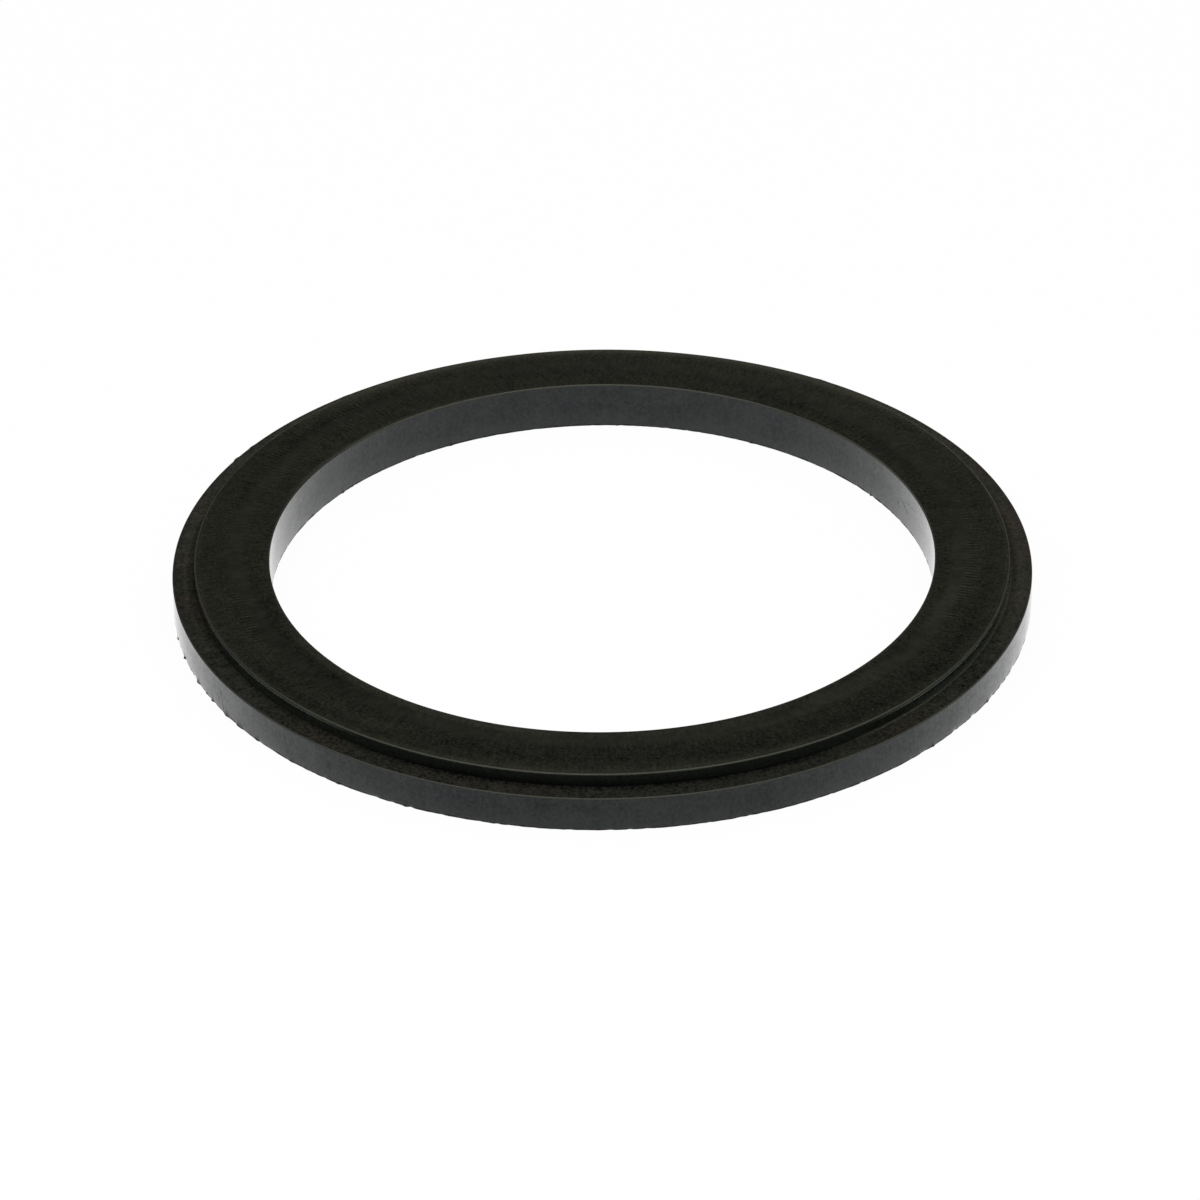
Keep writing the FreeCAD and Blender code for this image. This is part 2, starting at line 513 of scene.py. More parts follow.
def across_ring(tree, radius, middle, faded, full, blend="LINEAR"):
    """1 within the distance full of a circle of the middle radius, and 0 beyond the distance faded."""
    off = add_node(tree, "ShaderNodeMath", {"operation": "SUBTRACT", 1: middle}, {0: radius})
    off = add_node(tree, "ShaderNodeMath", {"operation": "ABSOLUTE"}, {0: off})
    return add_node(tree, "ShaderNodeMapRange", {
        "interpolation_type": blend, "From Min": faded, "From Max": full}, {"Value": off})


# Marks on the walls: arc angle in degrees and height in mm at each end, then the width in mm. A wall's marks
# show only within the slack of its radius.
BORE_MARKS = (
    (23.6, 2.42, 22.2, 2.05, 0.07),
    (22.2, 2.05, 20.4, 1.72, 0.09),
    (21.6, 2.55, 20.1, 2.62, 0.05),
    (24.9, 1.75, 23.9, 1.35, 0.06),
    (158.0, 1.2, 157.2, 2.6, 0.04),
)
OUTER_MARKS = (
    (-150.2, 1.95, -149.6, 0.15, 0.08),
    (-150.9, 1.25, -150.6, 0.55, 0.05),
    (-61.0, 2.3, -60.8, 1.6, 0.04),
    (-98.0, 1.9, -97.9, 1.3, 0.05),
    (-128.0, 2.2, -127.8, 1.0, 0.04),
)
WALL_SLACK = 0.5 * MM


def scratch(tree, spot, radius, mark):
    """A short straight scratch in the wall of this radius."""
    start_angle, start_height, end_angle, end_height, width = mark
    start = Vector((math.radians(start_angle) * radius, start_height * MM, 0))
    reach = Vector((math.radians(end_angle) * radius, end_height * MM, 0)) - start
    run = add_node(tree, "ShaderNodeMath", {"operation": "MULTIPLY", 1: radius}, {0: spot.arc})
    here = add_node(tree, "ShaderNodeCombineXYZ", None, {"X": run, "Y": spot.height})
    offset = add_node(tree, "ShaderNodeVectorMath", {"operation": "SUBTRACT", 1: start}, {0: here})
    along = add_node(tree, "ShaderNodeVectorMath", {
        "operation": "DOT_PRODUCT", 1: reach / reach.length_squared}, {0: offset})
    part = add_node(tree, "ShaderNodeClamp", None, {"Value": along.outputs["Value"]})
    nearest = add_node(tree, "ShaderNodeVectorMath", {"operation": "SCALE", 0: reach}, {"Scale": part})
    gap = add_node(tree, "ShaderNodeVectorMath", {"operation": "DISTANCE"}, {0: offset, 1: nearest})
    return add_node(tree, "ShaderNodeMapRange", {
        "From Min": width * MM, "From Max": 0.3 * width * MM}, {"Value": gap.outputs["Value"]})


def wall_scratches(tree, spot, size):
    """All the scratches in the bore and the outer wall."""
    marks = None
    for wall_radius, wall_marks in ((size.bore_radius, BORE_MARKS), (size.outer_radius, OUTER_MARKS)):
        on_wall = add_node(tree, "ShaderNodeMath", {"operation": "COMPARE", 1: wall_radius, 2: WALL_SLACK},
                           {0: spot.radius})
        for mark in wall_marks:
            line = scratch(tree, spot, wall_radius, mark)
            line = add_node(tree, "ShaderNodeMath", {"operation": "MULTIPLY"}, {0: line, 1: on_wall})
            if marks is not None:
                line = add_node(tree, "ShaderNodeMath", {"operation": "MAXIMUM"}, {0: line, 1: marks})
            marks = line
    return marks


# Painted light along the foot and the brow of the step's wall: middle and half of the arc in degrees, and how
# much paler or darker it is. The foot is painted paler on the sides, a painted highlight, and darker at the
# front, a painted shadow; the brow is painted paler on the sides, a painted highlight. The foot has faded
# this far above the ledge. The brow begins and is full this far below the land.
PAINTED_STEP_FOOT_LIGHT_AND_SHADE = ((336, 22, 2.8), (265, 26, -0.6), (211, 20, 0.7))
PAINTED_STEP_BROW_HIGHLIGHT = ((335, 28, 8.0), (208, 28, 7.0))
FOOT_HEIGHT = 0.65 * MM
BROW_BEGINS = 0.34 * MM
BROW_FULL = 0.22 * MM
# The two tall walls have kept more of their polish towards the base: the heights at which that has faded and
# is full, and how much of it. The bore has kept still more on some arcs: middle, half and how much.
POLISH_FADED = 1.9 * MM
POLISH_FULL = 0.2 * MM
WALL_POLISH = 0.34
BORE_POLISH = ((7, 24, 0.14), (173, 18, 0.07))
# How high above the base the rubber along a trimmed rim is torn, on average.
TORN_HEIGHT = 0.16 * MM


def moulded_rubber(name, size, wall_colour, coat_ior, smear, speckle, mottle, polish=0.0, polished=(),
                   painted_light_zones=()):
    """Nitrile rubber pressed against a polished mould: near black, and it mirrors what is pale at a low
    angle, more with a higher coat_ior and less sharply with more smear. Its colour is uneven by speckle and
    its gloss by mottle. It is glossier towards the base by polish, and on the arcs polished. A zone is a set
    of arcs painted paler or darker, as painted highlight and shade, and the heights at which it has faded and
    is full."""
    material, tree = new_material(name)
    spot = ring_place(tree)
    object_space = {"Vector": spot.place}

    grit = add_node(tree, "ShaderNodeTexNoise", {"Scale": 1 / (0.28 * MM), "Detail": 2.0}, object_space)
    ripple = add_node(tree, "ShaderNodeTexNoise", {"Scale": 1 / (0.9 * MM), "Detail": 3.0}, object_space)
    cloud = add_node(tree, "ShaderNodeTexNoise", {"Scale": 1 / (3.5 * MM), "Detail": 2.0}, object_space)
    draw_lines = add_node(tree, "ShaderNodeTexNoise", {"Scale": 1.0, "Detail": 2.0},
                          {"Vector": grain_along(tree, spot.away, spot.height, 0.18 * MM, 2.5 * MM)})
    pits = pale_specks(tree, spot.place, 0.9 * MM, 0.07 * MM, 0.3)
    worn = add_node(tree, "ShaderNodeMath", {"operation": "MAXIMUM"},
                    {0: wall_scratches(tree, spot, size), 1: pits})

    # The trimmed rim: torn, browner and duller rubber up to a ragged line just above the base.
    ragged = added(tree, TORN_HEIGHT, ((ripple, 0.4 * MM), (draw_lines, 0.25 * MM)))
    below = add_node(tree, "ShaderNodeMath", {"operation": "SUBTRACT"}, {0: ragged, 1: spot.height})
    torn = add_node(tree, "ShaderNodeMapRange", {"From Min": -0.03 * MM, "From Max": 0.05 * MM},
                    {"Value": below})

    tone = added(tree, 1.0, ((cloud, 0.5), (ripple, 0.6), (grit, speckle)))
    # Each zone paints highlights and shade onto its arcs, in the colour.
    for arcs, faded, full in painted_light_zones:
        here = add_node(tree, "ShaderNodeMapRange", {"From Min": faded, "From Max": full},
                        {"Value": spot.height})
        laid = add_node(tree, "ShaderNodeMath", {"operation": "MULTIPLY"},
                        {0: here, 1: by_arc(tree, spot.away, arcs)})
        tone = add_node(tree, "ShaderNodeMath", {"operation": "MULTIPLY_ADD"}, {0: laid, 1: tone, 2: tone})
    wall = add_node(tree, "ShaderNodeVectorMath", {"operation": "SCALE", 0: wall_colour}, {"Scale": tone})
    colour_here = add_node(tree, "ShaderNodeMix", {"data_type": "RGBA", 7: solid(size.trim_colour)},
                           {0: torn, 6: wall}).outputs[2]

    rough = added(tree, smear, ((cloud, 0.5 * smear), (ripple, 0.3 * smear)))
    rough = add_node(tree, "ShaderNodeMath", {"operation": "MULTIPLY_ADD", 1: 0.3}, {0: worn, 2: rough})
    rough = add_node(tree, "ShaderNodeMath", {"operation": "MULTIPLY_ADD", 1: 0.5}, {0: torn, 2: rough})
    shine = added(tree, 0.86, (
        (grit, mottle), (draw_lines, 0.4 * mottle), (ripple, 0.4 * mottle), (cloud, 0.5 * mottle)))
    if polish:
        near_base = add_node(tree, "ShaderNodeMapRange", {"From Min": POLISH_FADED, "From Max": POLISH_FULL},
                             {"Value": spot.height})
        shine = added(tree, 0.0, ((near_base, polish),), shine)
    if polished:
        shine = add_node(tree, "ShaderNodeMath", {"operation": "ADD"},
                         {0: shine, 1: by_arc(tree, spot.away, polished)})
    gloss = add_node(tree, "ShaderNodeMath", {"operation": "SUBTRACT", "use_clamp": True},
                     {0: shine, 1: torn})
    gloss = add_node(tree, "ShaderNodeMath", {"operation": "MULTIPLY_ADD", 1: -0.7, "use_clamp": True},
                     {0: worn, 2: gloss})

    relief = added(tree, 0.5, ((ripple, 1.0), (draw_lines, 0.35), (worn, -2.0), (torn, 3.0)))
    dents = add_node(tree, "ShaderNodeBump", {"Distance": 0.006 * MM}, {"Height": relief})
    shader = add_node(tree, "ShaderNodeBsdfPrincipled", {
        "Specular IOR Level": 0.5,
        "Specular Tint": solid(size.sheen_colour),
        "Coat IOR": coat_ior,
        "Coat Roughness": smear,
    }, {
        "Base Color": colour_here,
        "Roughness": rough,
        "Coat Weight": gloss,
        "Normal": dents,
        "Coat Normal": dents,
    })
    add_node(tree, "ShaderNodeOutputMaterial", links={"Surface": shader})
    return material


# Rings on the ground faces that are paler or darker than the rest, some of them painted highlights and
# painted shade, as marked: radius and half width in mm, middle and half of the arc in degrees, and how much
# paler or darker than the rest they are.
LAND_TONES_AND_PAINTED_HIGHLIGHTS = (
    # Painted highlight: the lower half of the land's rounding paler on the front sides.
    (34.20, 0.12, 335, 28, 1.20),
    (34.20, 0.12, 208, 28, 1.00),
    (33.84, 0.08, 340, 26, 0.30),
    (33.84, 0.08, 206, 18, 0.30),
    # Painted highlight: the land's edge broadly paler at the right and the left.
    (33.88, 0.30, 2, 16, 0.30),
    (33.88, 0.30, 180, 18, 0.30),
    (32.40, 1.60, 320, 42, -0.22),
    (33.30, 0.90, 4, 34, 0.16),
    # Painted highlight along the land's edge at the right, towards the back.
    (33.92, 0.16, 28, 26, 0.50),
    (33.70, 1.30, 90, 56, 0.56),
    (33.90, 0.60, 90, 58, 1.00),
    (30.40, 2.00, 90, 44, -0.10),
    (31.90, 1.50, 50, 36, 0.20),
    (31.90, 1.40, 142, 26, -0.25),
    (30.60, 1.20, 254, 38, -0.15),
    (32.00, 1.20, 268, 34, -0.30),
    (33.75, 0.50, 270, 44, 0.45),
    (33.20, 0.90, 228, 24, -0.25),
    (29.60, 2.40, 212, 28, -0.34),
    (28.40, 0.60, 232, 34, 0.60),
    (28.45, 0.50, 276, 34, 0.30),
    (28.05, 0.22, 225, 46, 0.50),
    (28.05, 0.22, 318, 40, 0.45),
    (28.05, 0.30, 135, 30, 0.80),
    (29.30, 0.90, 312, 26, -0.22),
    (33.00, 0.90, 315, 26, -0.15),
    (29.30, 0.90, 45, 26, -0.20),
    (33.65, 0.50, 45, 26, 0.25),
    (31.50, 1.10, 0, 18, 0.22),
    (31.00, 3.60, 285, 56, -0.12),
)
LEDGE_TONES_AND_PAINTED_LIGHT = (
    # Painted highlight on the root's rounding at the right.
    (34.23, 0.16, 333, 32, 2.2),
    # Painted shadow of the step across the front of the ledge.
    (34.15, 0.90, 270, 40, -0.60),
    # These five are painted light: the ledge paler at the back, the right and the left, where light from
    # behind falls.
    (35.20, 1.60, 90, 60, 0.9),
    (35.20, 1.60, 335, 24, 0.15),
    (35.20, 1.60, 20, 50, 1.0),
    (35.20, 1.60, 150, 42, 0.9),
    (35.20, 1.60, 205, 24, 0.2),
    (34.95, 0.25, 184, 22, 0.25),
    (34.66, 0.08, 182, 22, -0.3),
)


def tones_and_painted_light(tree, spot, rings):
    """How much paler or darker the rings, painted highlights and painted shade among them, make each place.
    """
    total = None
    for middle_radius, half_width, middle, half_arc, lift in rings:
        across = across_ring(tree, spot.radius, middle_radius * MM, half_width * MM, 0.0, "SMOOTHSTEP")
        along = on_arc(tree, spot.away, middle, half_arc)
        here = add_node(tree, "ShaderNodeMath", {"operation": "MULTIPLY"}, {0: across, 1: along})
        total = add_node(tree, "ShaderNodeMath", {"operation": "MULTIPLY_ADD", 1: lift, 2: 0.0},
                         {0: here, 2: total})
    return total


# The band that a mating rim has pressed into the land: its middle, a little off the ring's, its radius, and
# the distances from its circle at which it has faded and is full. Then where round the ring a painted sheen
# makes it paler: middle and half of the arc in degrees, and how much.
BAND_MIDDLE = (-0.3 * MM, 0.9 * MM, 0)
BAND_RADIUS = 30.4 * MM
BAND_FADED = 1.2 * MM
BAND_FULL = 0.3 * MM
BAND_SHEEN_ARCS = ((328, 46, 0.36), (188, 24, 0.08))


def band_reach(tree, place, cloud, hair):
    """How far a place is from the middle of the pressed band, give or take the band's unevenness."""
    shifted = add_node(tree, "ShaderNodeVectorMath", {"operation": "SUBTRACT", 1: BAND_MIDDLE}, {0: place})
    axes = add_node(tree, "ShaderNodeSeparateXYZ", None, {"Vector": shifted}).outputs
    level = add_node(tree, "ShaderNodeCombineXYZ", None, {"X": axes["X"], "Y": axes["Y"]})
    reach = add_node(tree, "ShaderNodeVectorMath", {"operation": "LENGTH"}, {0: level}).outputs["Value"]
    return added(tree, 0.0, ((cloud, 1.2 * MM), (hair, 0.35 * MM)), reach)


# The comb of grinding marks: the spacing of its ridges, the radius of the row that follows the outer side of
# the band, and where round the ring it shows: middle and half of the arc in degrees, and how much.
COMB_SPACING = 0.42 * MM
COMB_RADIUS = BAND_RADIUS + 0.9 * MM
COMB_ARCS = ((352, 22, 1.0), (199, 10, 0.8), (274, 9, 0.5), (146, 34, 0.45), (80, 10, 0.3))
# A second row on the inner side of the band: its radius, and middle and half of its arc in degrees.
INNER_COMB_RADIUS = 30.3 * MM
INNER_COMB_ARC = (146, 30)


def comb_marks(tree, spot, reach, hair, cloud, blotch):
    """Ridges across the ring that waver, and come and go with the blotches."""
    sway = added(tree, 0.0, ((hair, 5.0), (cloud, 9.0)))
    ridges = round(FULL_TURN * MEAN_RADIUS / COMB_SPACING)
    phase = add_node(tree, "ShaderNodeMath", {"operation": "MULTIPLY_ADD", 1: ridges}, {0: spot.arc, 2: sway})
    comb = add_node(tree, "ShaderNodeMath", {"operation": "SINE"}, {0: phase})
    comb = add_node(tree, "ShaderNodeMapRange", {"From Min": -1.0, "From Max": 1.0}, {"Value": comb})
    patchy = add_node(tree, "ShaderNodeMapRange", {
        "From Min": 0.42, "From Max": 0.6, "To Min": 0.15, "To Max": 1.0}, {"Value": blotch})

    outer = across_ring(tree, reach, COMB_RADIUS, 0.8 * MM, 0.3 * MM)
    inner = across_ring(tree, spot.radius, INNER_COMB_RADIUS, 1.1 * MM, 0.6 * MM)
    inner = add_node(tree, "ShaderNodeMath", {"operation": "MULTIPLY"},
                     {0: inner, 1: on_arc(tree, spot.away, *INNER_COMB_ARC)})
    combed = add_node(tree, "ShaderNodeMath", {"operation": "MAXIMUM"}, {0: outer, 1: inner})
    combed = add_node(tree, "ShaderNodeMath", {"operation": "MULTIPLY"}, {0: combed, 1: patchy})
    combed = add_node(tree, "ShaderNodeMath", {"operation": "MULTIPLY"},
                      {0: combed, 1: by_arc(tree, spot.away, COMB_ARCS, 0.1)})
    return drawn_in(tree, comb, combed)


# Painted shade in the crease where the ledge meets the step, darkening the rubber there: how far from the
# wall it is full and has faded, and how much of the rubber's paleness it leaves.
CREASE_SHADE_FULL = 0.03 * MM
CREASE_SHADE_FADED = 0.13 * MM
CREASE_SHADE_LEAVES = 0.45


def ground_rubber(name, size, face_colour, rings, browning, coarse):
    """Rubber ground flat: the torn grain scatters light to an olive black with short marks across the ring.
    browning is how much of it the grinding has warmed, and coarse is how strong its grain is."""
    material, tree = new_material(name)
    spot = ring_place(tree)
    object_space = {"Vector": spot.place}

    grain = add_node(tree, "ShaderNodeTexNoise", {"Scale": 1 / (0.26 * MM), "Detail": 3.0, "Roughness": 0.6},
                     object_space)
    blotch = add_node(tree, "ShaderNodeTexNoise", {"Scale": 1 / (1.3 * MM), "Detail": 3.0}, object_space)
    warmth = add_node(tree, "ShaderNodeTexNoise", {"Scale": 1 / (4 * MM), "Detail": 1.0}, object_space)
    cloud = add_node(tree, "ShaderNodeTexNoise", {"Scale": 1 / (7 * MM), "Detail": 2.0}, object_space)
    hair = add_node(tree, "ShaderNodeTexNoise", {"Scale": 1.0, "Detail": 2.0},
                    {"Vector": grain_along(tree, spot.away, spot.radius, 0.3 * MM, 0.8 * MM)})

    # The pressed band is smoother and paler than the rest, more so on some arcs by a painted sheen, and the
    # comb starts at its outer side.
    reach = band_reach(tree, spot.place, cloud, hair)
    pressed = across_ring(tree, reach, BAND_RADIUS, BAND_FADED, BAND_FULL, "SMOOTHSTEP")
    rough_grain = add_node(tree, "ShaderNodeMapRange", {"To Min": 1.0, "To Max": 0.25}, {"Value": pressed})
    grain = drawn_in(tree, grain, rough_grain)
    comb = comb_marks(tree, spot, reach, hair, cloud, blotch)
    lift = add_node(tree, "ShaderNodeMath", {"operation": "MULTIPLY"},
                    {0: pressed, 1: by_arc(tree, spot.away, BAND_SHEEN_ARCS, 0.06)})
    uneven = added(tree, 0.95, ((cloud, 2.0), (blotch, 1.2)))
    lift = add_node(tree, "ShaderNodeMath", {"operation": "MULTIPLY"}, {0: lift, 1: uneven})

    # Painted shade in the crease at the foot of the step, on the ledge only.
    corner = add_node(tree, "ShaderNodeMapRange", {
        "From Min": size.step_radius + CREASE_SHADE_FULL, "From Max": size.step_radius + CREASE_SHADE_FADED,
        "To Min": CREASE_SHADE_LEAVES, "To Max": 1.0,
    }, {"Value": spot.radius})
    on_land = add_node(tree, "ShaderNodeMath", {"operation": "LESS_THAN", 1: size.step_radius},
                       {0: spot.radius})
    corner = add_node(tree, "ShaderNodeMath", {"operation": "MAXIMUM"}, {0: corner, 1: on_land})

    tone = added(tree, 1.0, (
        (grain, 3.0 * coarse), (blotch, 0.8 * coarse), (cloud, 0.3), (hair, 1.2), (comb, 1.4)))
    tone = add_node(tree, "ShaderNodeMath", {"operation": "ADD"}, {0: tone, 1: lift})
    tone = add_node(tree, "ShaderNodeMath", {"operation": "MULTIPLY"}, {0: tone, 1: corner})
    # The rings' tones, with painted highlights and painted shade among them.
    rubbed = tones_and_painted_light(tree, spot, rings)
    tone = add_node(tree, "ShaderNodeMath", {"operation": "ADD"}, {0: tone, 1: rubbed})
    tint = add_node(tree, "ShaderNodeMapRange", {"From Min": 0.48, "From Max": 0.66, "To Max": browning},
                    {"Value": warmth})
    face = add_node(tree, "ShaderNodeMix", {
        "data_type": "RGBA", 6: solid(face_colour), 7: solid(size.stain_colour)}, {0: tint}).outputs[2]
    face = add_node(tree, "ShaderNodeVectorMath", {"operation": "SCALE"}, {0: face, "Scale": tone})
    specks = add_node(tree, "ShaderNodeMath", {"operation": "MAXIMUM"}, {
        0: pale_specks(tree, spot.place, 0.7 * MM, 0.08 * MM, 0.16),
        1: pale_specks(tree, spot.place, 0.4 * MM, 0.05 * MM, 0.14)})
    colour_here = add_node(tree, "ShaderNodeMix", {"data_type": "RGBA", 7: solid(size.speck_colour)},
                           {0: specks, 6: face}).outputs[2]

    rough = add_node(tree, "ShaderNodeMapRange", {"To Min": 0.85, "To Max": 0.6}, {"Value": pressed})
    relief = added(tree, 0.5, ((grain, 1.0), (comb, 0.8), (blotch, 0.5)))
    # The grinding marks run across the ring, so what gloss there is spreads along it.
    shader = add_node(tree, "ShaderNodeBsdfPrincipled", {"Specular IOR Level": 0.06, "Anisotropic": 0.8}, {
        "Base Color": colour_here,
        "Roughness": rough,
        "Normal": add_node(tree, "ShaderNodeBump", {"Distance": 0.02 * MM}, {"Height": relief}),
        "Tangent": spot.away,
    })
    add_node(tree, "ShaderNodeOutputMaterial", links={"Surface": shader})
    return material


# How much paler or darker the rounded edges are painted round the ring, a painted highlight at the front and
# at the right towards the back, and painted shade at the back, the left and straight to the right; how much
# paler the bore's edge is painted at the back, a painted highlight; and how much duller the edges are: middle
# and half of the arc in degrees, and how much.
PAINTED_EDGE_LIGHT = ((270, 62, 0.6), (30, 24, 0.9), (90, 42, -0.5), (180, 45, -0.6), (0, 12, -0.5))
PAINTED_BORE_EDGE_HIGHLIGHT = ((95, 50, 1.8),)
EDGE_DULLNESS = ((190, 45, 0.2), (0, 20, 0.1))


def rubbed_rubber(size):
    """Moulded rubber worn along a rounded edge: paler and duller than the walls, with some sheen left, and
    painted paler or darker round the ring as highlight and shade.
    """
    material, tree = new_material("rubbed_edge_rubber")
    spot = ring_place(tree)
    object_space = {"Vector": spot.place}
    grain = add_node(tree, "ShaderNodeTexNoise", {"Scale": 1 / (0.3 * MM), "Detail": 3.0}, object_space)
    patch = add_node(tree, "ShaderNodeTexNoise", {"Scale": 1 / (2.2 * MM), "Detail": 2.0}, object_space)
    in_bore = add_node(tree, "ShaderNodeMath", {
        "operation": "LESS_THAN", 1: size.bore_radius + BORE_ROUNDING}, {0: spot.radius})
    # Painted highlight and shade round the edges, with a painted highlight on the bore's far edge.
    painted_edge_tone = add_node(tree, "ShaderNodeMath", {"operation": "MULTIPLY_ADD"}, {
        0: in_bore,
        1: by_arc(tree, spot.away, PAINTED_BORE_EDGE_HIGHLIGHT),
        2: by_arc(tree, spot.away, PAINTED_EDGE_LIGHT, 1.0),
    })
    tone = added(tree, 0.0, ((grain, 0.7), (patch, 0.9)), painted_edge_tone)
    edge = add_node(tree, "ShaderNodeVectorMath", {"operation": "SCALE", 0: size.edge_colour},
                    {"Scale": tone})
    specks = pale_specks(tree, spot.place, 0.6 * MM, 0.06 * MM, 0.08)
    colour_here = add_node(tree, "ShaderNodeMix", {"data_type": "RGBA", 7: solid(size.speck_colour)},
                           {0: specks, 6: edge}).outputs[2]
    dullness = by_arc(tree, spot.away, EDGE_DULLNESS, 0.52)
    shader = add_node(tree, "ShaderNodeBsdfPrincipled", {
        "Specular IOR Level": 0.5,
        "Specular Tint": solid(size.edge_sheen_colour),
    }, {
        "Base Color": colour_here,
        "Roughness": added(tree, 0.0, ((grain, 0.05), (patch, 0.2)), dullness),
        "Normal": add_node(tree, "ShaderNodeBump", {"Distance": 0.004 * MM}, {"Height": grain}),
    })
    add_node(tree, "ShaderNodeOutputMaterial", links={"Surface": shader})
    return material


# The upward part of a face's normal: above the first a face is flat, and from the second up to it a face is
# part of a rounding. Of the land's rounding, the part below the third is ground with the land.
FLAT_NORMAL = 0.999
WALL_NORMAL = 0.02
UNDER_EDGE_NORMAL = 0.45
# How near to the ledge's height the middle of one of its faces has to be.
FACE_SLACK = 0.01 * MM


def finish_faces(ring, size):
    """Gives each face its finish by where it lies: walls moulded, flats ground, roundings rubbed."""
    # The step's wall is painted paler and darker along its foot and brow, as highlight and shade.
    painted_step_light = (
        (PAINTED_STEP_FOOT_LIGHT_AND_SHADE, size.ledge_height + FOOT_HEIGHT, size.ledge_height),
        (PAINTED_STEP_BROW_HIGHLIGHT, size.land_height - BROW_BEGINS, size.land_height - BROW_FULL),
    )
    finishes = {
        "outer wall": moulded_rubber("moulded_wall_rubber", size, size.wall_colour, coat_ior=1.325,
                                     smear=0.11, speckle=2.6, mottle=1.2, polish=WALL_POLISH),
        "bore": moulded_rubber("moulded_bore_rubber", size, size.wall_colour, coat_ior=1.392, smear=0.11,
                               speckle=2.6, mottle=0.8, polish=WALL_POLISH, polished=BORE_POLISH),
        "step": moulded_rubber("moulded_step_rubber", size, size.step_colour, coat_ior=1.26, smear=0.05,
                               speckle=0.9, mottle=1.2, painted_light_zones=painted_step_light),
        "land": ground_rubber("ground_land_rubber", size, size.land_colour, LAND_TONES_AND_PAINTED_HIGHLIGHTS,
                              browning=0.2, coarse=1.0),
        "ledge": ground_rubber("ground_ledge_rubber", size, size.ledge_colour, LEDGE_TONES_AND_PAINTED_LIGHT,
                               browning=0.5, coarse=1.4),
        "edge": rubbed_rubber(size),
    }
    for finish in finishes.values():
        ring.data.materials.append(finish)
    slots = list(finishes)

    def flat(at, normal):
        return abs(normal.z) > FLAT_NORMAL

    def on_ledge(at, normal):
        above, beyond = at.z - size.ledge_height, at.xy.length - size.step_radius
        in_root = 0 < above < ROOT_ROUNDING and 0 < beyond < ROOT_ROUNDING
        return near(at.z, size.ledge_height, FACE_SLACK) and flat(at, normal) or in_root

    def rounded(at, normal):
        on_top = at.z > size.ledge_height - 2 * LEDGE_ROUNDING
        return WALL_NORMAL < normal.z < FLAT_NORMAL and on_top and not on_ledge(at, normal)

    def in_bore(at, normal):
        return at.xy.length < size.bore_radius + BORE_ROUNDING

    def on_step(at, normal):
        return abs(at.xy.length - size.step_radius) < ROOT_ROUNDING and at.z > size.ledge_height

    def under_edge(at, normal):
        in_rounding = at.z > size.land_height - LAND_ROUNDING and on_step(at, normal)
        return in_rounding and WALL_NORMAL < normal.z < UNDER_EDGE_NORMAL

    # Every face starts as outer wall, and a later test takes faces over from an earlier one.
    for name, test in (("bore", in_bore), ("step", on_step), ("land", flat), ("ledge", on_ledge),
                       ("edge", rounded), ("land", under_edge)):
        pick("FACE", test)
        ring.active_material_index = slots.index(name)
        bpy.ops.object.material_slot_assign()


# Stage

# The floor lies this far under the base, so that the two never share a plane.
FLOOR_GAP = 0.02 * MM


def white_floor(stage):
    """Matt white board: it shows as white to the camera and in reflections, and keeps a faint shadow."""
    material, tree = new_material("matt_white_board")
    path = add_node(tree, "ShaderNodeLightPath").outputs
    seen = add_node(tree, "ShaderNodeMath", {"operation": "MULTIPLY", 1: stage.white_share},
                    {0: path["Is Camera Ray"]})
    mirrored = add_node(tree, "ShaderNodeMath", {"operation": "ADD"},
                        {0: path["Is Glossy Ray"], 1: path["Is Transmission Ray"]})
    part = add_node(tree, "ShaderNodeMath", {"operation": "MULTIPLY_ADD", 1: stage.mirror_share},
                    {0: mirrored, 2: seen})
    matt = add_node(tree, "ShaderNodeBsdfDiffuse", {"Color": solid(stage.floor_colour)})
    glow = add_node(tree, "ShaderNodeEmission", {"Color": solid(linear("#ffffff")), "Strength": 1.0})
    mixed = add_node(tree, "ShaderNodeMixShader", None, {0: part, 1: matt, 2: glow})
    add_node(tree, "ShaderNodeOutputMaterial", links={"Surface": mixed})
    return material


def add_floor(stage):
    """The white floor under the ring."""
    deselect_all()
    bpy.ops.mesh.primitive_plane_add(size=stage.floor_size, location=(0, 0, -FLOOR_GAP))
    floor = name_new("floor")
    bpy.ops.object.transform_apply(location=True, rotation=False, scale=False)
    floor.data.materials.append(white_floor(stage))


def add_world(stage):
    """A plain dim room round the white floor."""
    world = bpy.data.worlds.new("studio")
    world.use_nodes = True
    tree = world.node_tree
    tree.nodes.clear()
    light = add_node(tree, "ShaderNodeBackground", {
        "Color": solid(linear("#ffffff")), "Strength": stage.world_level})
    add_node(tree, "ShaderNodeOutputWorld", links={"Surface": light})
    bpy.context.scene.world = world


def add_softbox(name, level, side, distance, elevation, turn=0.0):
    """A square soft lamp that faces the ring from this elevation, turned this far round from behind it."""
    lamp = bpy.data.lights.new(name, "AREA")
    lamp.shape = "SQUARE"
    lamp.size = side
    lamp.energy = level * math.pi * side ** 2
    softbox = bpy.data.objects.new(name, lamp)
    towards = Matrix.Rotation(turn, 3, "Z") @ Vector((0, math.cos(elevation), math.sin(elevation)))
    aim = towards.to_track_quat("Z", "Y").to_matrix().to_4x4()
    softbox.matrix_world = Matrix.Translation(towards * distance) @ aim
    bpy.context.scene.collection.objects.link(softbox)


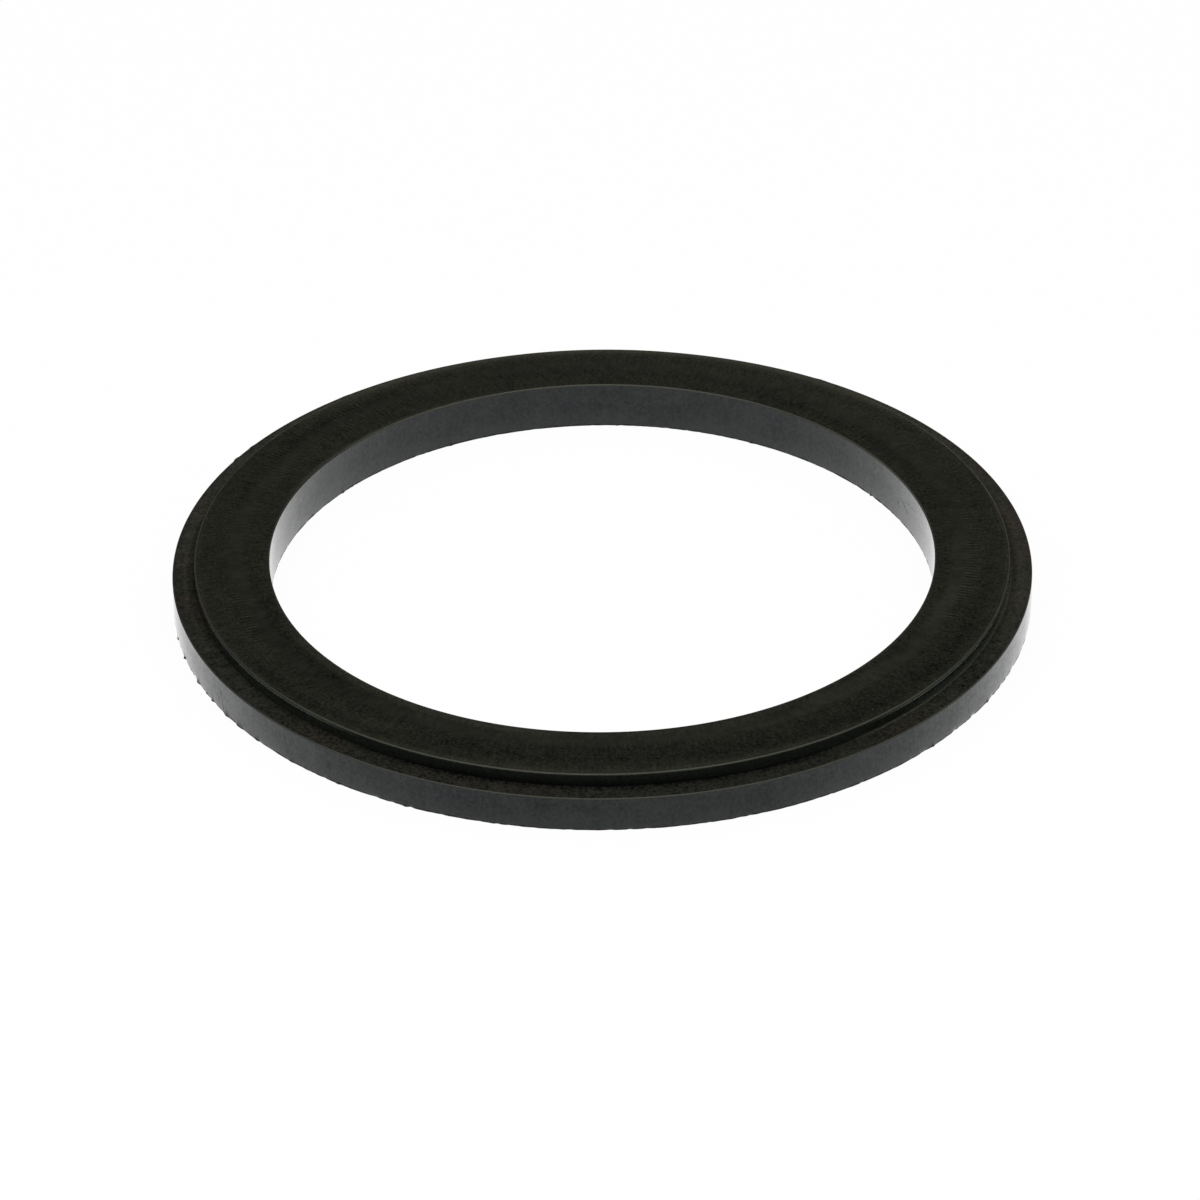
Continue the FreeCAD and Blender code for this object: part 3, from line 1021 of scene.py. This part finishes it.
def add_camera(stage):
    """The photograph's camera: level with its own view of the ring, a little off its middle."""
    lens = bpy.data.cameras.new("camera")
    lens.sensor_width = FRAME_WIDTH
    lens.lens = stage.camera_lens
    lens.clip_start = 0.01
    lens.clip_end = 100.0
    camera = bpy.data.objects.new("camera", lens)
    rise = stage.camera_elevation
    away = Vector((0, -math.cos(rise), math.sin(rise)))
    aim = (-away).to_track_quat("-Z", "Y").to_matrix().to_4x4()
    offset = (Matrix.Rotation(math.radians(-CAMERA_YAW), 4, "Y")
              @ Matrix.Rotation(math.radians(CAMERA_PITCH), 4, "X")
              @ Matrix.Rotation(math.radians(CAMERA_ROLL), 4, "Z"))
    camera.matrix_world = Matrix.Translation(away * stage.camera_distance) @ aim @ offset
    bpy.context.scene.collection.objects.link(camera)
    bpy.context.scene.camera = camera


class SEALING_OT_stage(bpy.types.Operator):
    """Adds the floor, the light and the camera"""
    bl_idname = "sealing.stage"
    bl_label = "Stage"

    def execute(self, context):
        stage = context.scene.sealing_stage
        add_floor(stage)
        add_world(stage)
        back = (stage.back_level, stage.back_size, stage.lamp_distance, stage.back_elevation)
        front = (stage.front_level, stage.front_size, stage.lamp_distance, stage.front_elevation)
        side = (stage.side_level, stage.side_size, stage.lamp_distance, stage.side_elevation)
        add_softbox("back_softbox", *back)
        for name, part in (("front_left_softbox", -1), ("front_softbox", 0), ("front_right_softbox", 1)):
            add_softbox(name, *front, FULL_TURN / 2 + part * stage.front_spread)
        for name, turn in (("left_softbox", FULL_TURN / 4), ("right_softbox", -FULL_TURN / 4)):
            add_softbox(name, *side, turn)
        add_camera(stage)
        context.scene.view_settings.view_transform = "Standard"
        return {"FINISHED"}


class SEALING_PT_panel(bpy.types.Panel):
    """Lists the steps that make the ring and its stage"""
    bl_idname = "SEALING_PT_panel"
    bl_label = "Sealing ring"
    bl_space_type = "VIEW_3D"
    bl_region_type = "UI"
    bl_category = "Sealing ring"

    def draw(self, context):
        layout = self.layout
        for group, operator in (("sealing_ring", SEALING_OT_ring), ("sealing_stage", SEALING_OT_stage)):
            settings = getattr(context.scene, group)
            box = layout.box()
            for name in settings.__annotations__:
                box.prop(settings, name)
            box.operator(operator.bl_idname)


CLASSES = (RingSettings, StageSettings, SEALING_OT_ring, SEALING_OT_stage, SEALING_PT_panel)


def register():
    for item in CLASSES:
        bpy.utils.register_class(item)
    bpy.types.Scene.sealing_ring = bpy.props.PointerProperty(type=RingSettings)
    bpy.types.Scene.sealing_stage = bpy.props.PointerProperty(type=StageSettings)


def unregister():
    del bpy.types.Scene.sealing_stage
    del bpy.types.Scene.sealing_ring
    for item in reversed(CLASSES):
        bpy.utils.unregister_class(item)


def main():
    register()
    bpy.ops.sealing.ring()
    bpy.ops.sealing.stage()


if __name__ == "__main__":
    main()
